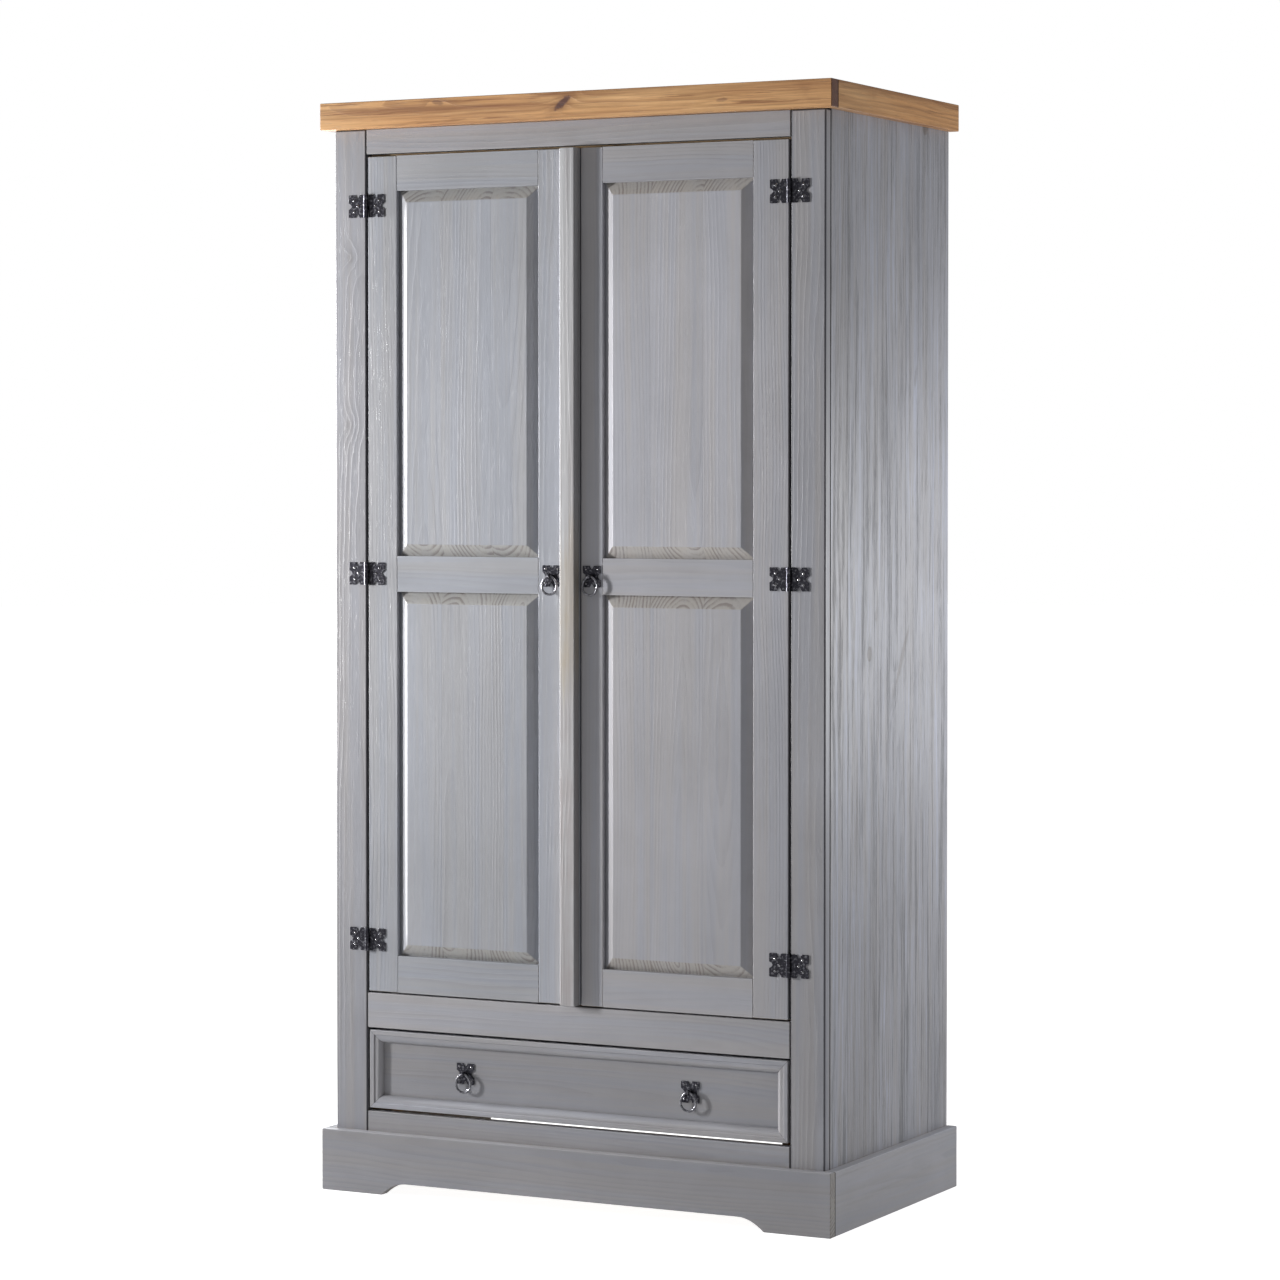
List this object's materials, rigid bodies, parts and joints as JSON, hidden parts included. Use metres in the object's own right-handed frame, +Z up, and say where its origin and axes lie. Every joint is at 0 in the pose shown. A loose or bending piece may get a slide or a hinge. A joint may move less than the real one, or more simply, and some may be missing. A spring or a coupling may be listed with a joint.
{
  "type": "armoire",
  "caption": "Free-standing pine armoire: panelled doors with a cover strip, a moulded drawer below, an arched plinth, a thick cornice, iron butterfly hinges, ring pulls and a hanging rail.",
  "frame": {"origin": "on the floor, under the middle of the armoire's bounding box", "axes": "+Z up, +Y towards the back, +X to the right seen from the front; the doors and drawer face -Y"},
  "size_m": [0.97, 0.53, 1.88],
  "materials": {
    "grey_wash": "thin matt grey wash over pine, grain and knots showing, rubbed pale on the edges",
    "waxed_pine": "satin antique wax on pine",
    "bare_pine": "bare planed pine",
    "black_iron": "black antiqued iron, worn bright on the edges",
    "bright_steel": "bright plated steel tube"
  },
  "bodies": {
    "root": {"side_panel_left": "grey_wash", "side_panel_right": "grey_wash", "face_stile_left": "grey_wash", "face_stile_right": "grey_wash", "face_rail_top": "grey_wash", "face_rail_middle": "grey_wash", "face_rail_bottom": "grey_wash", "cornice_front": "waxed_pine", "cornice_left": "waxed_pine", "cornice_right": "waxed_pine", "top_panel": "waxed_pine", "plinth_front": "grey_wash", "plinth_left": "grey_wash", "plinth_right": "grey_wash", "back_panel": "grey_wash", "cabinet_floor": "grey_wash", "hanging_rail": "bright_steel", "drawer_runner_left": "bare_pine", "drawer_runner_right": "bare_pine", "left_hinge_upper_frame_leaf": "black_iron", "left_hinge_middle_frame_leaf": "black_iron", "left_hinge_lower_frame_leaf": "black_iron", "right_hinge_upper_frame_leaf": "black_iron", "right_hinge_middle_frame_leaf": "black_iron", "right_hinge_lower_frame_leaf": "black_iron"},
    "left_door": {"left_door_hinge_stile": "grey_wash", "left_door_lock_stile": "grey_wash", "left_door_top_rail": "grey_wash", "left_door_middle_rail": "grey_wash", "left_door_bottom_rail": "grey_wash", "left_door_upper_panel": "grey_wash", "left_door_lower_panel": "grey_wash", "left_door_cover_strip": "grey_wash", "left_door_pull_plate": "black_iron", "left_hinge_upper_door_leaf": "black_iron", "left_hinge_middle_door_leaf": "black_iron", "left_hinge_lower_door_leaf": "black_iron"},
    "right_door": {"right_door_hinge_stile": "grey_wash", "right_door_lock_stile": "grey_wash", "right_door_top_rail": "grey_wash", "right_door_middle_rail": "grey_wash", "right_door_bottom_rail": "grey_wash", "right_door_upper_panel": "grey_wash", "right_door_lower_panel": "grey_wash", "right_door_pull_plate": "black_iron", "right_hinge_upper_door_leaf": "black_iron", "right_hinge_middle_door_leaf": "black_iron", "right_hinge_lower_door_leaf": "black_iron"},
    "drawer": {"drawer_front": "grey_wash", "drawer_moulding": "grey_wash", "drawer_side_left": "bare_pine", "drawer_side_right": "bare_pine", "drawer_back": "bare_pine", "drawer_bottom": "bare_pine", "drawer_left_pull_plate": "black_iron", "drawer_right_pull_plate": "black_iron"},
    "left_door_ring": {"left_door_pull_ring": "black_iron"},
    "right_door_ring": {"right_door_pull_ring": "black_iron"},
    "drawer_left_ring": {"drawer_left_pull_ring": "black_iron"},
    "drawer_right_ring": {"drawer_right_pull_ring": "black_iron"}
  },
  "joints": [
    {"name": "left_door_swing", "type": "hinge", "parent": "root", "child": "left_door", "pos_m": [-0.40175, -0.2503, 1.0699], "axis": [0, 0, -1], "range_deg": [0, 170]},
    {"name": "right_door_swing", "type": "hinge", "parent": "root", "child": "right_door", "pos_m": [0.40175, -0.2503, 1.0699], "axis": [0, 0, 1], "range_deg": [0, 170]},
    {"name": "drawer_slide", "type": "slide", "parent": "root", "child": "drawer", "axis": [0, -1, 0], "range_m": [0, 0.32]},
    {"name": "left_door_ring_lift", "type": "hinge", "parent": "left_door", "child": "left_door_ring", "pos_m": [-0.04, -0.255, 1.0699], "axis": [-1, 0, 0], "range_deg": [-8, 100]},
    {"name": "right_door_ring_lift", "type": "hinge", "parent": "right_door", "child": "right_door_ring", "pos_m": [0.037, -0.255, 1.0699], "axis": [-1, 0, 0], "range_deg": [-8, 100]},
    {"name": "drawer_left_ring_lift", "type": "hinge", "parent": "drawer", "child": "drawer_left_ring", "pos_m": [-0.215, -0.242, 0.2155], "axis": [-1, 0, 0], "range_deg": [-8, 100]},
    {"name": "drawer_right_ring_lift", "type": "hinge", "parent": "drawer", "child": "drawer_right_ring", "pos_m": [0.215, -0.242, 0.2155], "axis": [-1, 0, 0], "range_deg": [-8, 100]}
  ]
}
